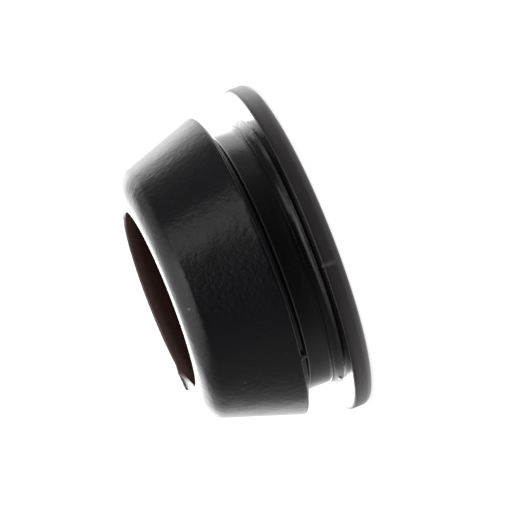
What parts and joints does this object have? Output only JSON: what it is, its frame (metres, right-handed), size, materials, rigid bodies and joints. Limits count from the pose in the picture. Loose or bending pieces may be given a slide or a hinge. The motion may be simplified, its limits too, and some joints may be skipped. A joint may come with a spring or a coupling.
{
  "type": "rubber plug",
  "caption": "Flanged blind rubber plug with a grooved neck and a hollow tapered barb, pushed into a round hole in a panel to close it.",
  "frame": {"origin": "centre of the flange's outer face, which the plug stands on", "axes": "+Z along the plug's axis, from the flange towards the open end of the hollow"},
  "size_m": [0.0252, 0.0252, 0.0117],
  "materials": {
    "black_rubber": "satin moulded black rubber with a faint pebbled grain"
  },
  "bodies": {
    "root": {"plug": "black_rubber"}
  },
  "joints": []
}
